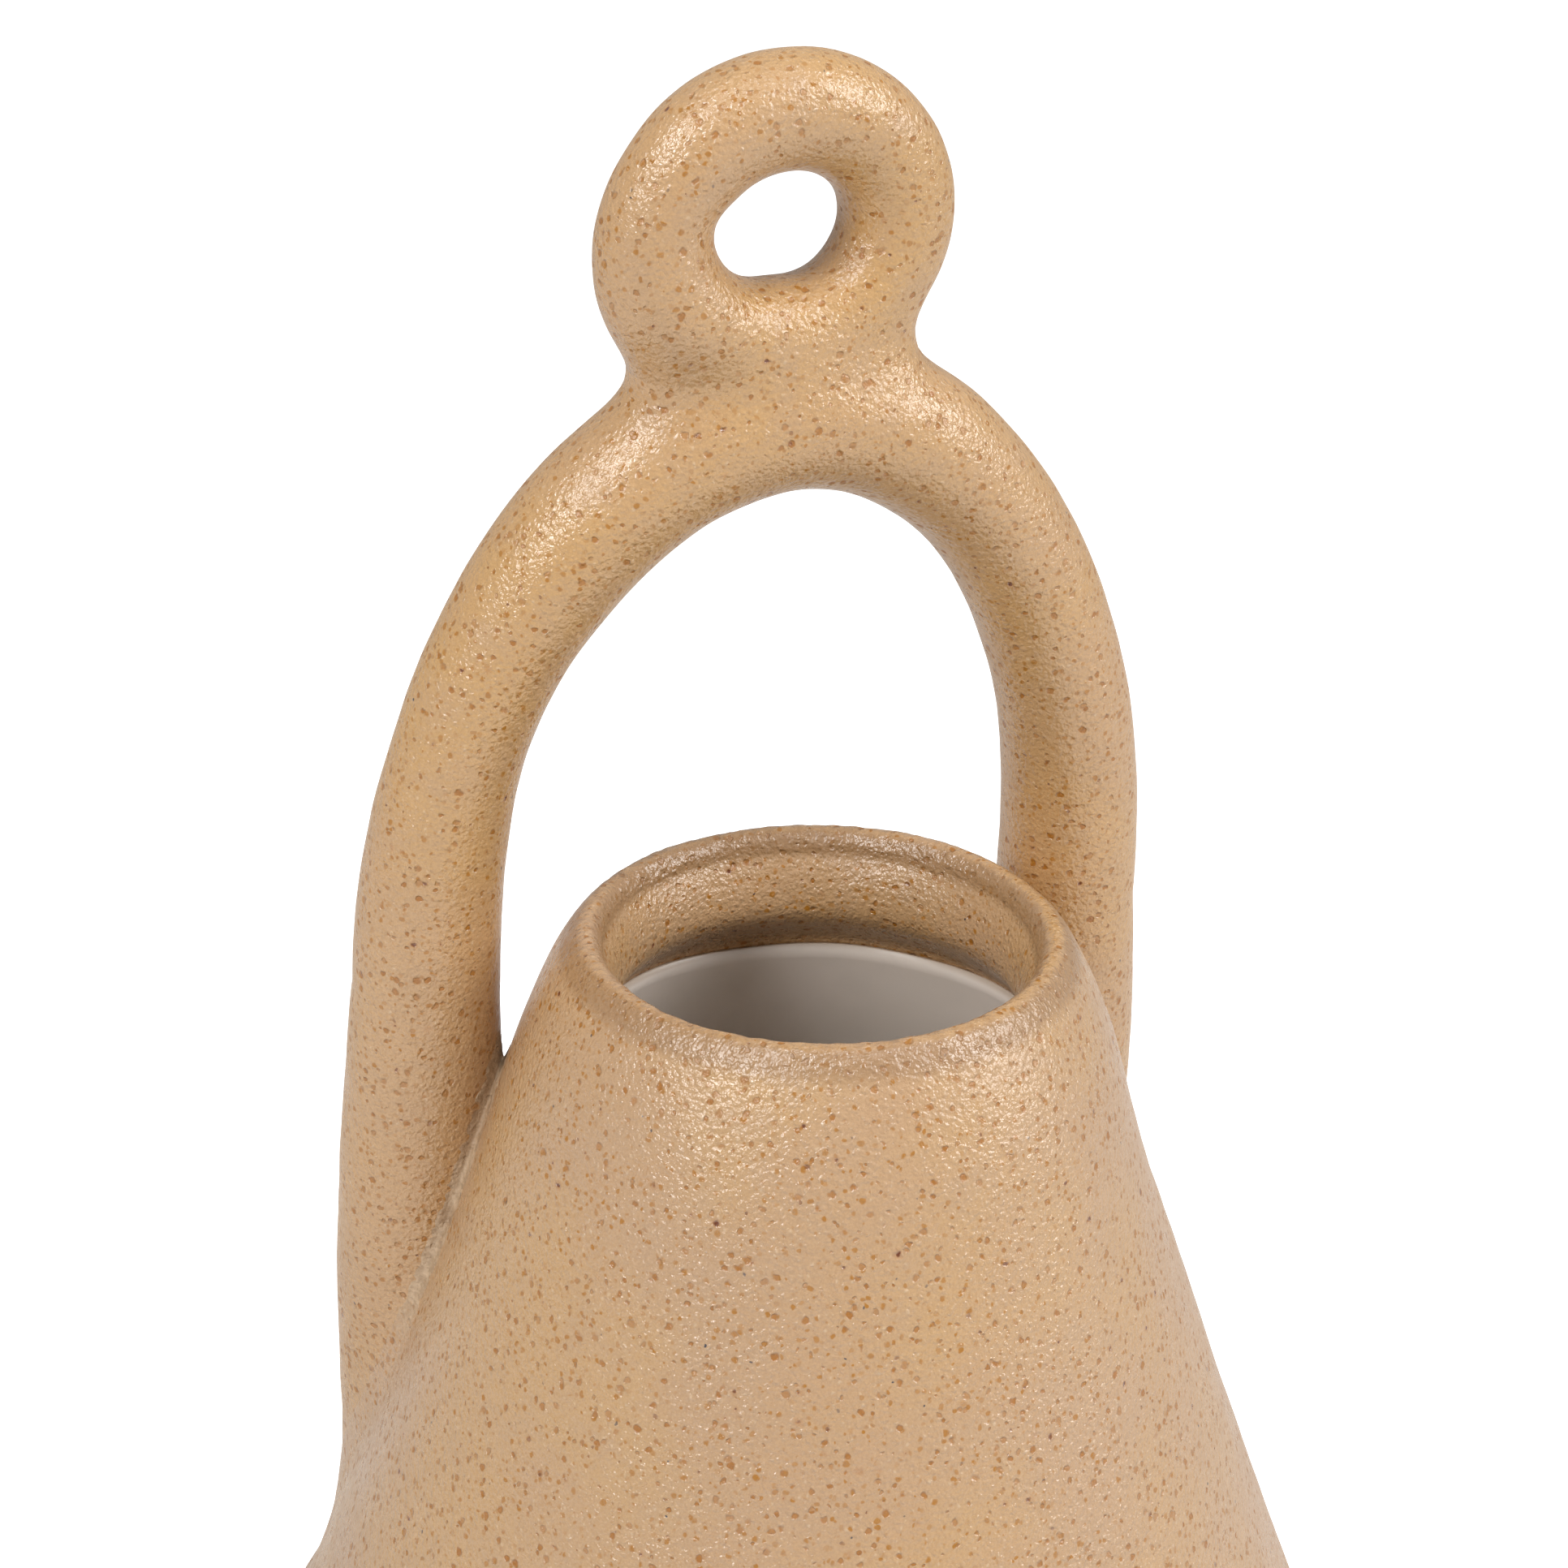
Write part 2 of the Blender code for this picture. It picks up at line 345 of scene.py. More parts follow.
def speck_group():
    """Specks scattered through the clay: where the surface cuts one, it shows as a soft round spot."""
    tree, given, out = new_group(
        "specks",
        [
            ("Place", "Vector", None),
            ("Per metre", "Float", 500.0),
            ("Size", "Float", 0.2),
            ("Share", "Float", 0.5),
            ("Softness", "Float", 0.5),
        ],
        [("Mask", "Float"), ("Chance", "Float")],
    )
    add, feed, sum_of, graded, *_ = node_maker(tree)
    cells = add("TexVoronoi", feature="F1", voronoi_dimensions="3D")
    feed(cells.inputs["Vector"], given.outputs["Place"])
    feed(cells.inputs["Scale"], given.outputs["Per metre"])
    feed(cells.inputs["Randomness"], 1.0)
    luck = add("SeparateColor")
    feed(luck.inputs[0], cells.outputs["Color"])
    size = sum_of("MULTIPLY", given.outputs["Size"], sum_of("MULTIPLY_ADD", luck.outputs["Green"], 0.9, 0.55))
    core = sum_of("MULTIPLY", size, sum_of("SUBTRACT", 1.0, given.outputs["Softness"]))
    spot = graded(cells.outputs["Distance"], core, size, 1.0, 0.0)
    kept = sum_of("LESS_THAN", luck.outputs["Red"], given.outputs["Share"])
    feed(out.inputs["Mask"], sum_of("MULTIPLY", spot, kept))
    feed(out.inputs["Chance"], luck.outputs["Blue"])
    return tree


specks = speck_group()


def stoneware_group():
    """Bare buff stoneware: mottled ground, golden, brown and dark iron specks, pale grains, pebbled skin."""
    tree, given, out = new_group(
        "stoneware_skin",
        [("Ground", "Color", None), ("Warm", "Color", None), ("Grey", "Color", None)],
        [("Color", "Color"), ("Roughness", "Float"), ("Height", "Float")],
    )
    add, feed, sum_of, graded, blended, cloud = node_maker(tree)
    place = add("TexCoord").outputs["Object"]

    wander = add("TexNoise")
    feed(wander.inputs["Vector"], place)
    feed(wander.inputs["Scale"], 1100.0)
    feed(wander.inputs["Detail"], 1.0)
    ragged = add("VectorMath", operation="MULTIPLY_ADD")
    feed(ragged.inputs[0], wander.outputs["Color"])
    feed(ragged.inputs[1], (0.0007, 0.0007, 0.0007))
    feed(ragged.inputs[2], place)
    ragged = ragged.outputs[0]

    def scattered(per_metre, size, share, softness):
        made = add("Group", node_tree=specks)
        for socket, value in zip(made.inputs, (ragged, per_metre, size, share, softness)):
            feed(socket, value)
        return made.outputs["Mask"], made.outputs["Chance"]

    golden, golden_chance = scattered(620.0, 0.27, 0.97, 0.45)
    flecks, fleck_chance = scattered(900.0, 0.32, 0.97, 0.45)
    umber, umber_chance = scattered(330.0, 0.10, 0.65, 0.6)
    halo, _ = scattered(330.0, 0.22, 0.65, 0.9)
    dark, dark_chance = scattered(300.0, 0.06, 0.6, 0.5)
    pale, _ = scattered(1250.0, 0.3, 0.4, 0.9)

    broad = cloud(place, 38.0, 2.0)
    patches = cloud(place, 150.0, 3.0, 0.6)
    grain = cloud(place, 3000.0, 1.0, 0.6)
    peel = cloud(place, 1250.0, 2.0, 0.6)
    wrinkle = cloud(place, 2900.0, 1.0, 0.6)
    pebbles = add("TexVoronoi", feature="F1", voronoi_dimensions="3D")
    feed(pebbles.inputs["Vector"], ragged)
    feed(pebbles.inputs["Scale"], 1400.0)
    pebble = graded(pebbles.outputs["Distance"], 0.0, 0.75, 1.0, 0.0)

    colour = blended(graded(broad, 0.35, 0.65), given.outputs["Ground"], given.outputs["Warm"])
    colour = blended(graded(patches, 0.46, 0.72, 0.0, 0.45), colour, given.outputs["Grey"])
    colour = blended(graded(grain, 0.3, 0.7, 0.14, 0.0), colour, swatch(120, 76, 36))
    colour = blended(sum_of("MULTIPLY", pale, 0.28), colour, swatch(232, 210, 178))

    def strength(mask, chance, low, high):
        return sum_of("MULTIPLY", mask, graded(chance, 0.0, 1.0, low, high), clamp=True)

    colour = blended(strength(golden, golden_chance, 0.55, 1.0), colour, swatch(158, 98, 8))
    colour = blended(strength(flecks, fleck_chance, 0.3, 1.0), colour, swatch(164, 108, 26))
    colour = blended(strength(halo, umber_chance, 0.1, 0.5), colour, swatch(160, 98, 34))
    colour = blended(strength(umber, umber_chance, 0.5, 1.0), colour, swatch(104, 48, 8))
    colour = blended(strength(dark, dark_chance, 0.5, 1.0), colour, swatch(48, 48, 56))
    feed(out.inputs["Color"], colour)

    rough = graded(patches, 0.35, 0.7, 0.26, 0.36)
    rough = sum_of("ADD", rough, sum_of("MULTIPLY", golden, 0.10))
    feed(out.inputs["Roughness"], sum_of("SUBTRACT", rough, sum_of("MULTIPLY", umber, 0.22)))

    skin = sum_of("MULTIPLY", peel, 0.65)
    for relief, share in ((wrinkle, 0.12), (pebble, 0.22), (golden, -0.30), (umber, -0.25), (pale, 0.10)):
        skin = sum_of("ADD", skin, sum_of("MULTIPLY", relief, share))
    feed(out.inputs["Height"], skin)
    return tree


stoneware_skin = stoneware_group()


def stoneware(name, ground, warm, grey):
    material = bpy.data.materials.new(name)
    material.use_nodes = True
    tree = material.node_tree
    shader = tree.nodes["Principled BSDF"]
    add, feed, *_ = node_maker(tree)
    skin = add("Group", node_tree=stoneware_skin)
    for label, value in (("Ground", ground), ("Warm", warm), ("Grey", grey)):
        feed(skin.inputs[label], value)
    relief = add("Bump")
    relief.inputs["Strength"].default_value = 1.0
    relief.inputs["Distance"].default_value = 0.00036
    feed(relief.inputs["Height"], skin.outputs["Height"])
    feed(shader.inputs["Base Color"], skin.outputs["Color"])
    feed(shader.inputs["Roughness"], skin.outputs["Roughness"])
    shader.inputs["Specular IOR Level"].default_value = 1.0
    feed(shader.inputs["Normal"], relief.outputs["Normal"])
    return material


thrown_clay = stoneware("thrown_clay", swatch(186, 150, 112), swatch(190, 152, 106), swatch(181, 148, 114))


def lip_shade_band(material):
    """A band of painted shade lies just below the crest of the lip, inside and out: the colour is darkened towards a
    browner one there.
    """
    shader = material.node_tree.nodes["Principled BSDF"]
    add, feed, sum_of, graded, blended, cloud = node_maker(material.node_tree)
    place = add("TexCoord").outputs["Object"]
    height = add("SeparateXYZ")
    feed(height.inputs[0], place)
    crumbs = cloud(place, 700.0, 3.0, 0.65)
    level = sum_of("MULTIPLY_ADD", crumbs, 0.0012, height.outputs["Z"])
    above_wall = graded(level, BODY_HEIGHT - 0.0036, BODY_HEIGHT - 0.0014)
    below_crest = graded(level, BODY_HEIGHT + 0.0001, BODY_HEIGHT + 0.0008, 1.0, 0.0)
    painted_shade_band = sum_of("MULTIPLY", above_wall, below_crest)
    plain = shader.inputs["Base Color"].links[0].from_socket
    # painted shade: the band just below the crest is darkened towards brown
    feed(shader.inputs["Base Color"], blended(sum_of("MULTIPLY", painted_shade_band, 0.6), plain, swatch(142, 106, 70)))


lip_shade_band(thrown_clay)
body = turned(throat_outline() + wall_outline(), WALL_TURNS)
for vert in body.verts:
    point = vert.co
    across = math.hypot(point.x, point.y)
    outside = across > LIP_CREST and across > wall_radius(point.z) - WALL / 2
    if not outside or point.z < 0.03:
        continue
    level = Vector((point.x, point.y, 0)) / across
    outward = (level + Vector((0, 0, wall_slope(point.z)))).normalized()
    point += level * out_of_round(point.x, point.y, point.z)
    if LOWEST_FEELING < point.z < HIGHEST_FEELING and distance_to_leg(point) < FEELING:
        vert.co = drawn_out(point.copy(), outward, distance_to_wall, distance_to_leg, foot_fillet, FOOT_CHANNEL)
press_by_hand(body)
pushed(body, lambda p: CREST_GRIT * noise.noise(p * 900) * ease((p.z - 0.138) / 0.004))
body_wall = finished("body_wall_clay", body, thrown_clay)
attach(body_wall, "root")
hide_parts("body_wall")

# Floor slab
# A disc of the same clay set inside the wall's foot, its underside a little above the table and left as the
# rib turned it, with shallow rings.

FOOT_RECESS = 0.003
FLOOR = 0.007
SLAB_CLEARANCE = 0.0003
SLAB_EDGE = 0.0006
SLAB_TAPER = 0.36  # how far its edge leans in for each metre up, as the wall does

floor_top = FOOT_RECESS + FLOOR
slab_radius = wall_radius(FOOT_RECESS) - WALL - SLAB_CLEARANCE
under_rings = [
    (r, FOOT_RECESS + 0.00018 * (1 - math.cos(r * 1450)) * ease(r / 0.01))
    for r in steps_between(0.0, slab_radius - SLAB_EDGE, 90)
]
slab_outline = under_rings + [(slab_radius, FOOT_RECESS + SLAB_EDGE)]
slab_outline += [
    (slab_radius - (FLOOR - SLAB_EDGE) * SLAB_TAPER, floor_top - SLAB_EDGE),
    (slab_radius - FLOOR * SLAB_TAPER - SLAB_EDGE, floor_top),
    (0.0, floor_top),
]
slab = turned(slab_outline, 144, closed=False)
base_slab = finished("floor_slab_clay", slab, thrown_clay)
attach(base_slab, "root")
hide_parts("base_slab")

# Liner glaze
# A smooth off-white glaze poured in and out again before the last firing. It covers the floor and the inside
# of the wall up to a soft edge below the throat.

GLAZE = 0.0006
GLAZE_GAP = 0.0001


def liner_side(depth):
    rising = steps_between(floor_top + depth, BODY_HEIGHT - GLAZE_DROP, 44)
    return [(0.0, floor_top + depth)] + [(wall_radius(z) - WALL - depth, z) for z in rising]


liner = turned(liner_side(GLAZE + GLAZE_GAP) + liner_side(GLAZE_GAP)[::-1], 240, closed=False)
for vert in liner.verts:
    # the edge wavers a little where the glaze stopped running
    turn = math.atan2(vert.co.y, vert.co.x)
    waver = 0.00025 * math.sin(3 * turn + 1.0) + 0.00015 * math.sin(7 * turn)
    vert.co.z += waver * ease((vert.co.z - 0.115) / 0.01)


def glaze_material():
    material = bpy.data.materials.new("liner_glaze")
    material.use_nodes = True
    tree = material.node_tree
    shader = tree.nodes["Principled BSDF"]
    add, feed, sum_of, graded, blended, cloud = node_maker(tree)
    place = add("TexCoord").outputs["Object"]
    height = add("SeparateXYZ")
    feed(height.inputs[0], place)
    thin = graded(height.outputs["Z"], BODY_HEIGHT - GLAZE_DROP - 0.0012, BODY_HEIGHT - GLAZE_DROP + 0.0002)
    clouding = cloud(place, 60.0, 3.0)
    colour = blended(graded(clouding, 0.35, 0.65), swatch(236, 226, 216), swatch(228, 218, 207))
    colour = blended(sum_of("MULTIPLY", thin, 0.55), colour, swatch(176, 152, 124))
    feed(shader.inputs["Base Color"], colour)
    feed(shader.inputs["Roughness"], graded(clouding, 0.3, 0.7, 0.3, 0.38))
    relief = add("Bump")
    relief.inputs["Strength"].default_value = 1.0
    relief.inputs["Distance"].default_value = 0.00005
    feed(relief.inputs["Height"], cloud(place, 260.0, 2.0))
    feed(shader.inputs["Normal"], relief.outputs["Normal"])
    return material


liner_glaze = finished("liner_glaze_coat", liner, glaze_material())
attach(liner_glaze, "root")
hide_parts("liner_glaze")

# Arch handle
# One pulled coil, bent to a tall arch and set back behind the mouth, leaning a little forward. Both feet are
# pressed flat on the wall, the crown swells where it carries the ring.

ARCH_RISE = 0.0745
CROWN_RADIUS = 0.0093
SHOULDER_RADIUS = 0.0084
AROUND = 64
PRESSED_GAP = 0.0001
NEAR_WALL = 0.132  # below this height the coil can meet the wall
NEAR_RING = 0.190  # above this one it can meet the ring
RING_FEELING = 0.013

RING_HALF_WIDTH = 0.0157
RING_HALF_HEIGHT = 0.0141
RING_COIL = 0.0071
RING_SHIFT = -0.0022
RING_TWIST = math.radians(6.5)
RING_FILLET_FACE = 0.0050  # fillet between ring and arch on the front and back
RING_FILLET_SIDE = 0.0092  # and in the crotches at both sides
RING_CHANNEL = 0.0019

crown_height = LEG_TOP + ARCH_RISE
ring_height = crown_height + CROWN_RADIUS + RING_HALF_HEIGHT


def arch_radius(z):
    shoulder = LEG_TOP + ARCH_RISE / 2
    if z <= LEG_TOP:
        return leg_radius(z)
    if z <= shoulder:
        return LEG_RADIUS + (SHOULDER_RADIUS - LEG_RADIUS) * ease((z - LEG_TOP) / (shoulder - LEG_TOP))
    return SHOULDER_RADIUS + (CROWN_RADIUS - SHOULDER_RADIUS) * ease((z - shoulder) / (crown_height - shoulder))


def arch_swell(x, z, facing):
    """The coil's unevenness. facing is 1 on the outside of the arch and -1 on its underside."""
    full = 0.0007 * bump_at(x, -0.012, 0.012) + 0.0005 * bump_at(x, 0.002, 0.014)
    under = full - 0.0007 * bump_at(x, 0.028, 0.009) - 0.0009 * bump_at(x, -0.037, 0.007)
    beside_ring = -0.0005 * bump_at(x, -0.019, 0.006) - 0.0004 * bump_at(x, 0.025, 0.006)
    outside = beside_ring + 0.0004 * bump_at(x, -0.040, 0.007) + 0.0005 * bump_at(x, 0.041, 0.005)
    return (max(0.0, -facing) * under + max(0.0, facing) * outside) * ease((z - LEG_TOP) / 0.03)


def about(angle, degrees, spread):
    """1 in the direction given and fading to 0 to both sides of it."""
    away = (math.degrees(angle) - degrees + 180) % 360 - 180
    return bump_at(away, 0, spread)


def ring_reach(angle):
    """From the ring's middle to its coil's centre line, in the direction angle."""
    oval = 1 / math.hypot(math.cos(angle) / RING_HALF_WIDTH, math.sin(angle) / RING_HALF_HEIGHT)
    left = 0.0003 * about(angle, 172, 25) - 0.0003 * about(angle, 150, 15)
    return oval + left + 0.0005 * about(angle, 215, 24) - 0.0003 * about(angle, 268, 30)


def ring_thickness(angle):
    thinner = 0.0004 * about(angle, 165, 25)
    return RING_COIL - thinner + 0.0006 * about(angle, 215, 24) + 0.0003 * about(angle, 268, 30)


def distance_to_ring(p):
    up = p.z - ring_height
    x, y = p.x - RING_SHIFT, p.y - handle_y(p.z)
    across = x * math.cos(RING_TWIST) + y * math.sin(RING_TWIST)
    through = y * math.cos(RING_TWIST) - x * math.sin(RING_TWIST)
    angle = math.atan2(up, across)
    return math.hypot(math.hypot(across, up) - ring_reach(angle), through) - ring_thickness(angle)


def distance_to_arch(p):
    """How far p stands off the arch's coil, near the crown."""
    height, through = in_handle_plane(p)
    x, up, rise = p.x, (height - LEG_TOP) / math.cos(HANDLE_LEAN), ARCH_RISE / math.cos(HANDLE_LEAN)
    angle = math.atan2(up / rise, x / LEG_HALF_SPAN)
    for _ in range(4):
        cos, sin = math.cos(angle), math.sin(angle)
        off_x, off_z = x - LEG_HALF_SPAN * cos, up - rise * sin
        first = off_x * LEG_HALF_SPAN * sin - off_z * rise * cos
        second = (LEG_HALF_SPAN * sin) ** 2 + (rise * cos) ** 2 + off_x * LEG_HALF_SPAN * cos + off_z * rise * sin
        angle -= first / second
    near_x, near_up = LEG_HALF_SPAN * math.cos(angle), rise * math.sin(angle)
    outside = (x - near_x) * math.cos(angle) + (up - near_up) * math.sin(angle)
    across = math.copysign(math.hypot(x - near_x, up - near_up), outside)
    away = math.hypot(across, through)
    near_z = LEG_TOP + near_up * math.cos(HANDLE_LEAN)
    return away - arch_radius(near_z) - arch_swell(near_x, near_z, across / max(away, 1e-9))


def ring_fillet(p):
    to_side = ease((abs(p.x - RING_SHIFT) - 0.007) / 0.010)
    return RING_FILLET_FACE + (RING_FILLET_SIDE - RING_FILLET_FACE) * to_side


def arch_line():
    """The coil's centre line from the left foot over the crown to the right foot, as x and z."""
    rising = [(-leg_x(z), z) for z in steps_between(FOOT_TIP + 0.0006, LEG_TOP, 80)]
    turns = steps_between(0, math.pi, 210)[1:-1]
    crown = [(-LEG_HALF_SPAN * math.cos(a), LEG_TOP + ARCH_RISE * math.sin(a)) for a in turns]
    return rising + crown + [(-x, z) for x, z in rising[::-1]]


def wrapped(across, along, place_of, closed_along=False):
    """A flat sheet of faces rolled up: place_of(u, v) gives each point, u once round and v along, both 0 to 1."""
    shape = bmesh.new()
    bmesh.ops.create_grid(shape, x_segments=across, y_segments=along, size=0.5)
    for vert in shape.verts:
        vert.co = place_of(vert.co.x + 0.5, vert.co.y + 0.5)
    bmesh.ops.remove_doubles(shape, verts=shape.verts, dist=0.000002)
    if not closed_along:
        bmesh.ops.holes_fill(shape, edges=[e for e in shape.edges if e.is_boundary], sides=0)
    bmesh.ops.recalc_face_normals(shape, faces=shape.faces)
    return shape


# Its ground is a little more saturated than thrown_clay's: painted shade, standing in for the weaker sheen on the
# handle's shaded parts.
pulled_clay_shade_tint = stoneware("pulled_clay_shade_tint", swatch(190, 151, 106), swatch(193, 152, 99), swatch(183, 148, 111))
line = arch_line()
lean_out = Vector((0, math.cos(HANDLE_LEAN), math.sin(HANDLE_LEAN)))


def on_centre_line(x, z):
    return Vector((x, handle_y(z), z))


def arch_point(u, v):
    station = min(int(round(v * (len(line) - 1))), len(line) - 1)
    x, z = line[station]
    before, after = line[max(station - 1, 0)], line[min(station + 1, len(line) - 1)]
    centre = on_centre_line(x, z)
    along = on_centre_line(*after) - on_centre_line(*before)
    level = lean_out.cross(along.normalized())
    outward = level * math.cos(math.tau * u) + lean_out * math.sin(math.tau * u)
    point = centre + outward * (arch_radius(z) + arch_swell(x, z, -math.cos(math.tau * u)))
    if z < NEAR_WALL:
        stand_off = distance_to_wall(point)
        if stand_off < PRESSED_GAP:
            return point + out_upward(point, wall_slope(point.z)) * (PRESSED_GAP - stand_off)
        return drawn_out(point, outward, distance_to_leg, distance_to_wall, foot_fillet, FOOT_CHANNEL)
    if z > NEAR_RING and distance_to_ring(point) < RING_FEELING:
        return drawn_out(point, outward, distance_to_arch, distance_to_ring, ring_fillet, RING_CHANNEL)
    return point


arch = wrapped(AROUND, len(line) - 1, arch_point)
press_by_hand(arch)
handle_arch = finished("handle_arch_clay", arch, pulled_clay_shade_tint)
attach(handle_arch, "root")
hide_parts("handle_arch")

# Ring
# A short coil closed to a ring and pressed on to the crown, a little off its middle and a little twisted.

RING_AROUND = 56
RING_STEPS = 150
CLEAR_OF_ARCH = 0.232  # above this height the ring is free of the arch
HAIR = 0.00002  # a very short step, to find which way a distance grows


def growth(distance, place, here):
    """How fast a distance grows along x, y and z at a place where it is here."""
    steps = (Vector((HAIR, 0, 0)), Vector((0, HAIR, 0)), Vector((0, 0, HAIR)))
    return Vector([(distance(place + step) - here) / HAIR for step in steps])


def on_ring_plane(across, through, z):
    """A place of the twisted ring, from how far it is across from the ring's middle and through its plane."""
    x = RING_SHIFT + across * math.cos(RING_TWIST) - through * math.sin(RING_TWIST)
    return Vector((x, handle_y(z) + across * math.sin(RING_TWIST) + through * math.cos(RING_TWIST), z))


def ring_point(u, v):
    angle = math.tau * v
    reach = ring_reach(angle) + ring_thickness(angle) * math.cos(math.tau * u)
    through = ring_thickness(angle) * math.sin(math.tau * u)
    point = on_ring_plane(reach * math.cos(angle), through, ring_height + reach * math.sin(angle))
    if point.z > CLEAR_OF_ARCH:
        return point
    coil = ring_reach(angle)
    middle = on_ring_plane(coil * math.cos(angle), 0.0, ring_height + coil * math.sin(angle))
    stand_off = distance_to_arch(point)
    if stand_off < PRESSED_GAP:
        # pressed flat on the arch, straight out from its coil
        for _ in range(3):
            point += growth(distance_to_arch, point, stand_off).normalized() * (PRESSED_GAP - stand_off)
            stand_off = distance_to_arch(point)
        return point
    outward = (point - middle).normalized()
    return drawn_out(point, outward, distance_to_ring, distance_to_arch, ring_fillet, RING_CHANNEL)


ring = wrapped(RING_AROUND, RING_STEPS, ring_point, closed_along=True)
press_by_hand(ring)
top_ring = finished("top_ring_clay", ring, pulled_clay_shade_tint)
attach(top_ring, "root")
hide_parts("top_ring")

# Slip in the joints
# Clay and water brushed between the parts before they were pressed together, then wiped: it stands as a pale
# rough line beside the upper half of each foot and is smoothed away everywhere else.

FOOT_SLIP_WIDTH = 0.0026
RING_SLIP_WIDTH = 0.0042
SLIP_DEPTH = 0.0005
SLIP_STEPS = 260
FOOT_SLIP_PROUD = 0.00010  # how far the slip stands out in the middle
RING_SLIP_PROUD = 0.00004
SLIP_GRIT = 0.00022
NEARLY_PARALLEL = 0.02


def slip_section(width, proud):
    """(difference, stand-off) round the slip's section: over the top between the pieces, and back below."""
    top = [(-width + 2 * width * i / 12, proud - 0.00030 * abs(-1 + 2 * i / 12) ** 3) for i in range(13)]
    below = [(width * (1 - 2 * i / 6) * 0.9, -SLIP_DEPTH) for i in range(7)]
    return top + below


def settle(start, first, second, want_first, want_second):
    """Moves start until it is the wanted distances from two shapes."""
    p = start.copy()
    for _ in range(5):
        a, b = first(p), second(p)
        slope_a, slope_b = growth(first, p, a), growth(second, p, b)
        aa, bb, ab = slope_a.dot(slope_a), slope_b.dot(slope_b), slope_a.dot(slope_b)
        miss_a, miss_b = want_first - a, want_second - b
        spread = aa * bb - ab * ab
        if spread < NEARLY_PARALLEL:
            break
        p += slope_a * ((miss_a * bb - miss_b * ab) / spread) + slope_b * ((miss_b * aa - miss_a * ab) / spread)
    return p


def slip_band(middle_of, first, second, fillet, width, proud):
    """A closed band of slip along the joint of two shapes: middle_of(v) is the joint's line, once round."""
    section = slip_section(width, proud)

    def place_of(u, v):
        difference, stand_off = section[int(round(u * len(section))) % len(section)]
        p = middle_of(v)
        for _ in range(2):
            wide = fillet(p)
            share = max(wide - abs(difference), 0.0) / wide
            nearest = stand_off + share * share * wide / 4
            p = settle(p, first, second, nearest + max(difference, 0.0), nearest + max(-difference, 0.0))
        return p

    return wrapped(len(section), SLIP_STEPS, place_of, closed_along=True)


def meeting(z):
    """Where the fillet's middle beside the right leg lies at height z, out from the axis and to each side."""
    quarter = foot_fillet(Vector((0, 0, z))) / 4
    leg = Vector((leg_x(z), handle_y(z)))
    leg_reach, wall_reach = leg_radius(z) + quarter, outer_radius(z) + quarter * math.sqrt(1 + wall_slope(z) ** 2)
    out = (wall_reach**2 - leg_reach**2 + leg.length_squared) / (2 * leg.length)
    return leg.normalized(), out, wall_reach**2 - out * out


def meeting_end(inside, outside):
    """The height, from one where they meet towards one where they don't, at which leg and wall part."""
    for _ in range(40):
        z = (inside + outside) / 2
        inside, outside = (z, outside) if meeting(z)[2] > 0 else (inside, z)
    return inside


foot_low, foot_high = meeting_end(0.085, 0.035), meeting_end(0.085, 0.128)


def foot_joint(side):
    def middle_of(v):
        z = (foot_high + foot_low) / 2 + (foot_high - foot_low) / 2 * math.cos(math.tau * v)
        direction, out, square = meeting(z)
        aside = math.sqrt(max(square, 0.0)) * (1 if v % 1.0 <= 0.5 else -1)
        x = direction.x * out + direction.y * aside
        y = direction.y * out - direction.x * aside
        return Vector((side * x, y, z))

    return middle_of


def slip_material():
    """Whitish, dry and rough where it was left beside the foot; smoothed over with the clay's own skin below."""
    material = stoneware("joining_slip", swatch(186, 150, 112), swatch(190, 152, 106), swatch(181, 148, 114))
    tree = material.node_tree
    shader = tree.nodes["Principled BSDF"]
    add, feed, sum_of, graded, blended, cloud = node_maker(tree)
    place = add("TexCoord").outputs["Object"]
    height = add("SeparateXYZ")
    feed(height.inputs[0], place)
    crumbs = cloud(place, 900.0, 3.0, 0.65)
    left_rough = graded(sum_of("MULTIPLY_ADD", crumbs, 0.012, height.outputs["Z"]), 0.086, 0.098)
    stain = sum_of("MULTIPLY", graded(cloud(place, 160.0, 2.0), 0.52, 0.66), 0.75)
    dry = blended(graded(crumbs, 0.35, 0.65), swatch(160, 132, 100), swatch(186, 158, 126))
    dry = blended(stain, dry, swatch(150, 118, 84))
    skin_colour = shader.inputs["Base Color"].links[0].from_socket
    skin_rough = shader.inputs["Roughness"].links[0].from_socket
    feed(shader.inputs["Base Color"], blended(left_rough, skin_colour, dry))
    feed(shader.inputs["Roughness"], sum_of("MULTIPLY_ADD", left_rough, 0.35, skin_rough, clamp=True))
    return material


joining_slip = slip_material()
for side, name in ((-1, "left_foot_slip"), (1, "right_foot_slip")):
    band = slip_band(foot_joint(side), distance_to_leg, distance_to_wall, foot_fillet, FOOT_SLIP_WIDTH, FOOT_SLIP_PROUD)
    press_by_hand(band)
    pushed(band, lambda p: SLIP_GRIT * noise.noise(p * 800) * ease((p.z - 0.080) / 0.012))
    slip = finished(name + "_clay", band, joining_slip)
    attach(slip, "root")
    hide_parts(name)


def ring_joint(v):
    turn = math.tau * v
    start = Vector((RING_SHIFT + 0.019 * math.cos(turn), handle_y(0.214) + 0.0085 * math.sin(turn), 0.2125))
    quarter = ring_fillet(start) / 4
    return settle(start, distance_to_ring, distance_to_arch, quarter, quarter)


collar = slip_band(ring_joint, distance_to_ring, distance_to_arch, ring_fillet, RING_SLIP_WIDTH, RING_SLIP_PROUD)
press_by_hand(collar)
ring_slip = finished("ring_slip_clay", collar, pulled_clay_shade_tint)
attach(ring_slip, "root")
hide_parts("ring_slip")

# Studio
# A plain pale floor, three soft boxes and an even white surround; the camera looks down on the mouth from the
# left of the handle's front.


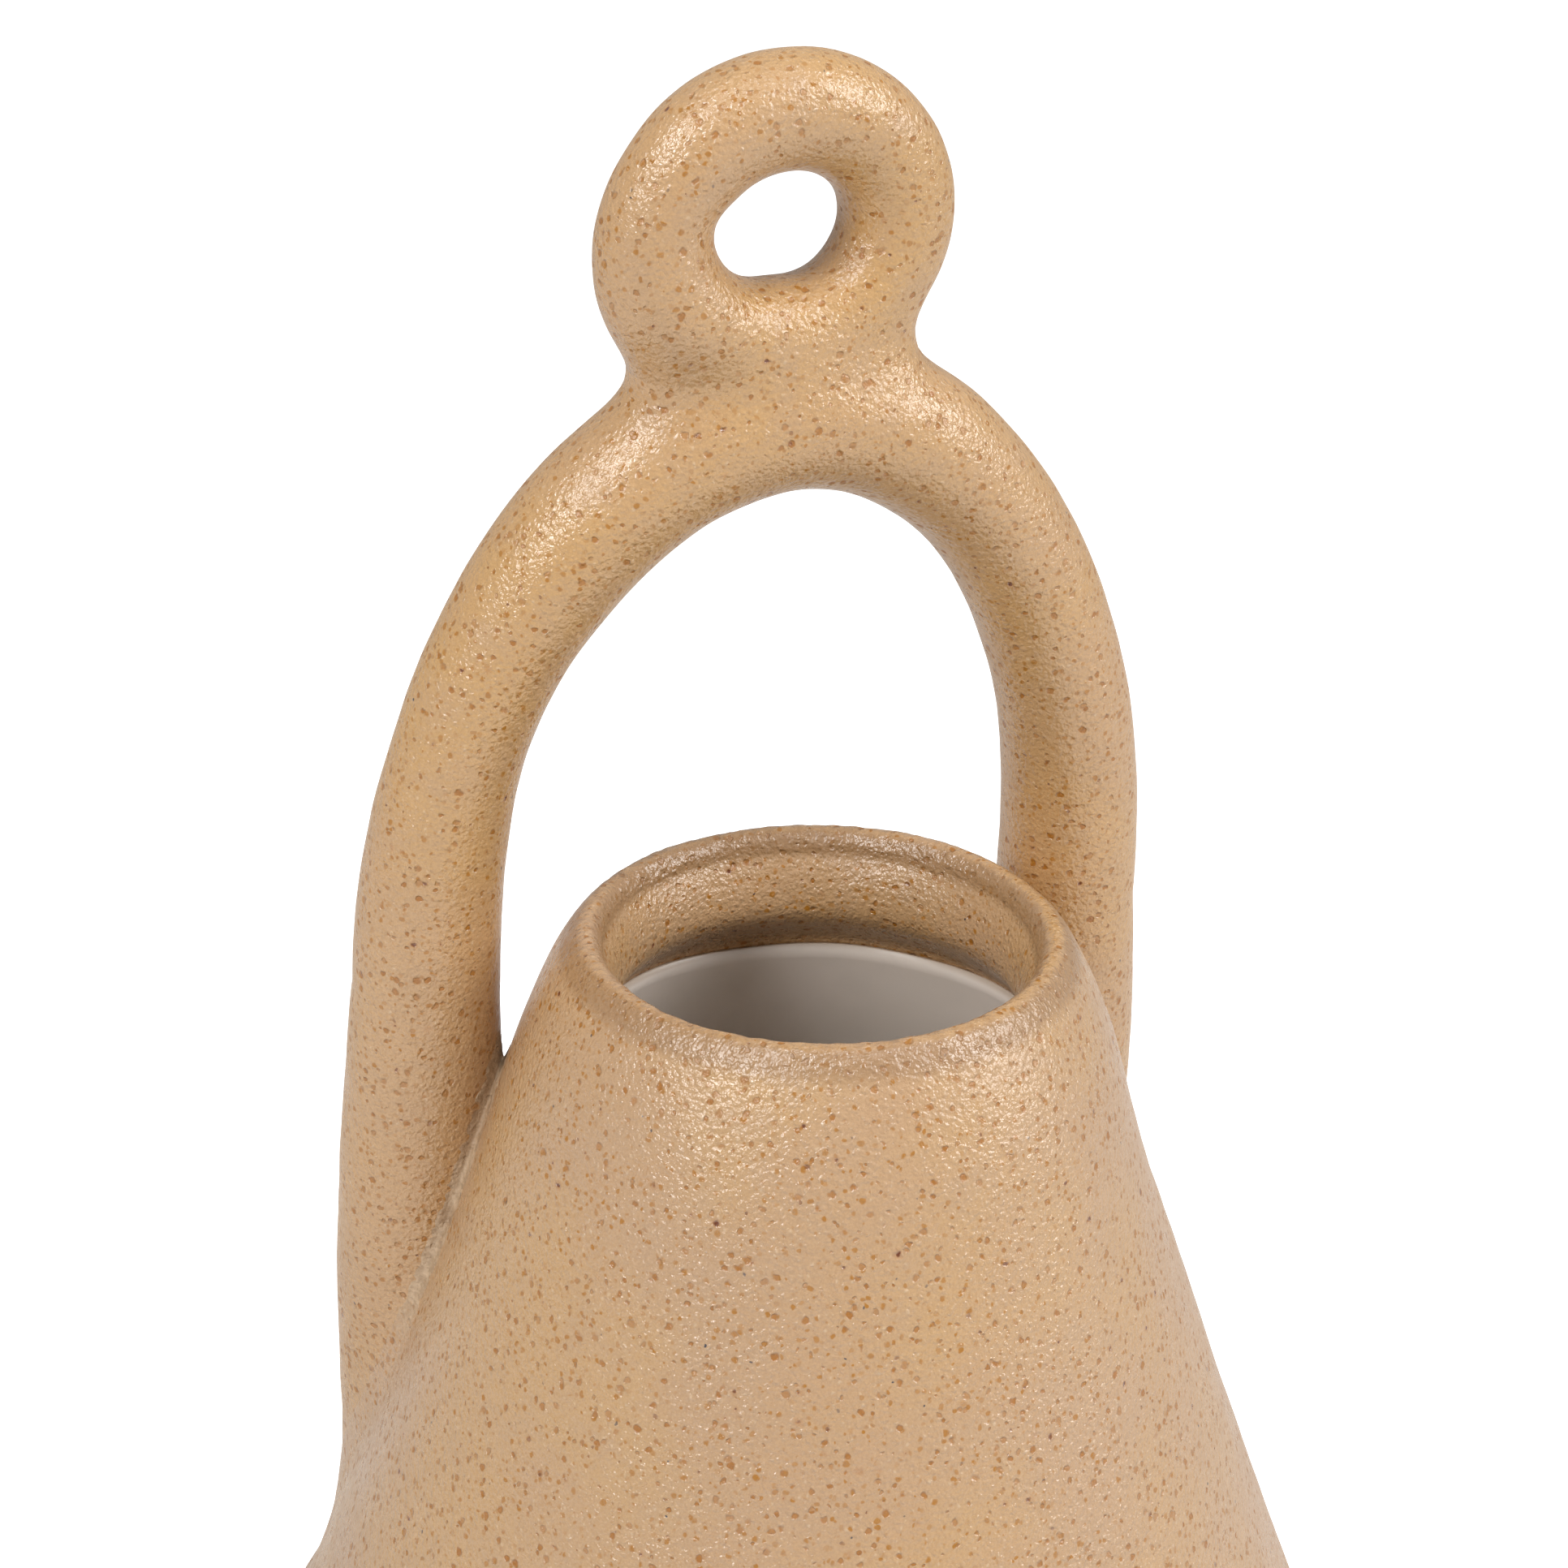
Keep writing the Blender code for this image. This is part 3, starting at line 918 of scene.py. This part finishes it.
def studio_floor():
    shape = bmesh.new()
    bmesh.ops.create_circle(shape, cap_ends=True, segments=96, radius=4.0)
    material = bpy.data.materials.new("studio_floor")
    material.use_nodes = True
    shader = material.node_tree.nodes["Principled BSDF"]
    shader.inputs["Base Color"].default_value = (0.8, 0.8, 0.805, 1.0)
    shader.inputs["Roughness"].default_value = 0.8
    # lit from below like a light table, as far as the camera sees it
    seen = material.node_tree.nodes.new("ShaderNodeLightPath").outputs["Is Camera Ray"]
    material.node_tree.links.new(seen, shader.inputs["Emission Color"])
    shader.inputs["Emission Strength"].default_value = 0.7
    return finished("studio_floor", shape, material)


studio_floor()


def soft_box(name, azimuth, elevation, distance, width, height, power):
    """A lamp with a flat front, aimed at the vase; azimuth 0 stands in front, on -Y, and turns to the right."""
    a, e = math.radians(azimuth), math.radians(elevation)
    towards = Vector((math.sin(a) * math.cos(e), -math.cos(a) * math.cos(e), math.sin(e)))
    lamp = bpy.data.lights.new(name, "AREA")
    lamp.shape = "RECTANGLE"
    lamp.size, lamp.size_y = width, height
    lamp.energy = power
    box = bpy.data.objects.new(name, lamp)
    box.location = LAMP_AIM + towards * distance
    box.rotation_euler = towards.to_track_quat("Z", "Y").to_euler()
    bpy.context.scene.collection.objects.link(box)


LAMP_AIM = Vector((0, 0, 0.15))
soft_box("box_left", -62, 42, 0.9, 0.18, 0.65, 5.5)
soft_box("box_top", -20, 78, 1.0, 0.4, 0.4, 1.3)
soft_box("box_right", 60, 32, 0.9, 0.22, 0.70, 5.2)

surround = bpy.data.worlds.new("surround")
surround.use_nodes = True
add, feed, sum_of, graded, blended, cloud = node_maker(surround.node_tree)
sky = surround.node_tree.nodes["Background"]
direction = add("SeparateXYZ")
feed(direction.inputs[0], add("TexCoord").outputs["Generated"])
lit = graded(direction.outputs["X"], -0.95, 0.4, 0.36, 0.54)
seen = sum_of("MAXIMUM", lit, add("LightPath").outputs["Is Camera Ray"])
feed(sky.inputs["Color"], (1.0, 1.0, 1.0, 1.0))
feed(sky.inputs["Strength"], seen)
bpy.context.scene.world = surround
bpy.context.scene.view_settings.view_transform = "Standard"

CAMERA_AZIMUTH = math.radians(-20.82)
CAMERA_ELEVATION = math.radians(25.29)
CAMERA_DISTANCE = 0.4174
CAMERA_AIM = Vector((-0.0047, 0.0018, 0.1628))
CAMERA_ROLL = math.radians(1.357)
CAMERA_LENS = 78.6

back = Vector(
    (
        math.sin(CAMERA_AZIMUTH) * math.cos(CAMERA_ELEVATION),
        -math.cos(CAMERA_AZIMUTH) * math.cos(CAMERA_ELEVATION),
        math.sin(CAMERA_ELEVATION),
    )
)
right = Vector((math.cos(CAMERA_AZIMUTH), math.sin(CAMERA_AZIMUTH), 0))
up = back.cross(right)
across = right * math.cos(CAMERA_ROLL) + up * math.sin(CAMERA_ROLL)
upward = up * math.cos(CAMERA_ROLL) - right * math.sin(CAMERA_ROLL)
camera = bpy.data.objects.new("camera", bpy.data.cameras.new("camera"))
camera.data.sensor_width = 36.0
camera.data.lens = CAMERA_LENS
turned_to_vase = Matrix((across, upward, back)).transposed().to_4x4()
camera.matrix_world = Matrix.Translation(CAMERA_AIM + back * CAMERA_DISTANCE) @ turned_to_vase
bpy.context.scene.collection.objects.link(camera)
bpy.context.scene.camera = camera
